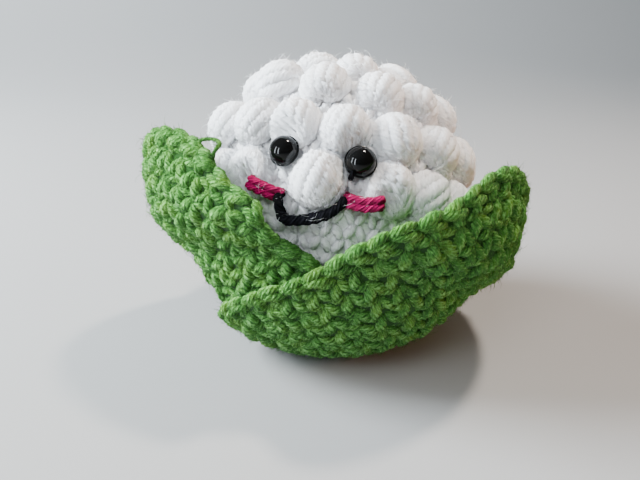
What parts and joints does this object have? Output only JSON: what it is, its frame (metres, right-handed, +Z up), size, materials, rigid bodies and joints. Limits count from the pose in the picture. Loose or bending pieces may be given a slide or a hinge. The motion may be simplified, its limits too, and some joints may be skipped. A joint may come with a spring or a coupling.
{
  "type": "crocheted cauliflower toy",
  "caption": "Crocheted toy cauliflower: a stuffed white ball with raised bobble stitches and a simple face, held in overlapping green crocheted leaves, standing on its flattened underside.",
  "frame": {"origin": "middle of the toy's footprint box, on the surface that the toy stands on", "axes": "-Y out of the face, +X to the right as seen facing the toy and along its longest extent, +Z up"},
  "size_m": [0.1084, 0.0928, 0.0843],
  "materials": {
    "white_yarn": "soft fuzzy worsted yarn, worked in crochet",
    "filling": "loose fibre filling",
    "eye_plastic": "black, polished",
    "washer_plastic": "plain moulded",
    "black_yarn": "soft fuzzy yarn",
    "cheek_yarn": "soft fuzzy yarn",
    "green_yarn": "soft fuzzy worsted yarn, worked in crochet"
  },
  "bodies": {
    "root": {"head_skin": "white_yarn", "stuffing": "filling", "eye_left": "eye_plastic", "eye_right": "eye_plastic", "eye_washer_left": "washer_plastic", "eye_washer_right": "washer_plastic", "mouth": "black_yarn", "cheek_left": "cheek_yarn", "cheek_right": "cheek_yarn", "leaf_back": "green_yarn", "leaf_left": "green_yarn", "leaf_front": "green_yarn"}
  },
  "joints": []
}
